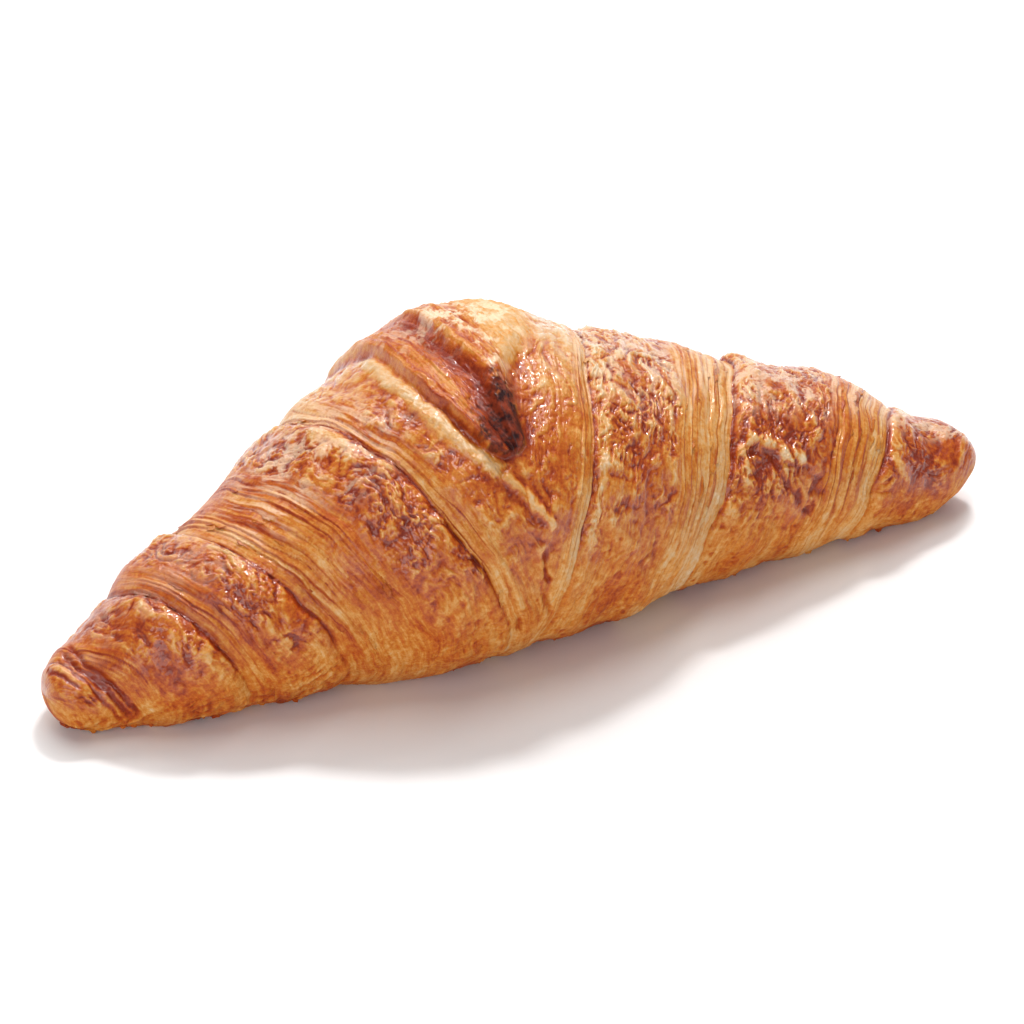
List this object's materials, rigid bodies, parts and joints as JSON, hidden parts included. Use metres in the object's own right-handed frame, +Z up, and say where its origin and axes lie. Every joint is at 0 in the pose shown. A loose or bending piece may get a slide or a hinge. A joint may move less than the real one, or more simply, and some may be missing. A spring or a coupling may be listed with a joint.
{
  "type": "croissant",
  "caption": "Straight butter croissant with rolled, layered wraps, a tongue of dough over the top and a flat baked base; food to eat or display.",
  "frame": {"origin": "middle of the base, under the centre of the bounding box", "axes": "+X along the croissant towards its plain right tip, +Y to the back, away from the tongue's tip, +Z up"},
  "size_m": [0.175, 0.0664, 0.0549],
  "materials": {
    "crust": "baked laminated crust: glossy red-brown egg-washed skins, matt golden layered edges and flanks"
  },
  "bodies": {
    "root": {"croissant": "crust"}
  },
  "joints": []
}
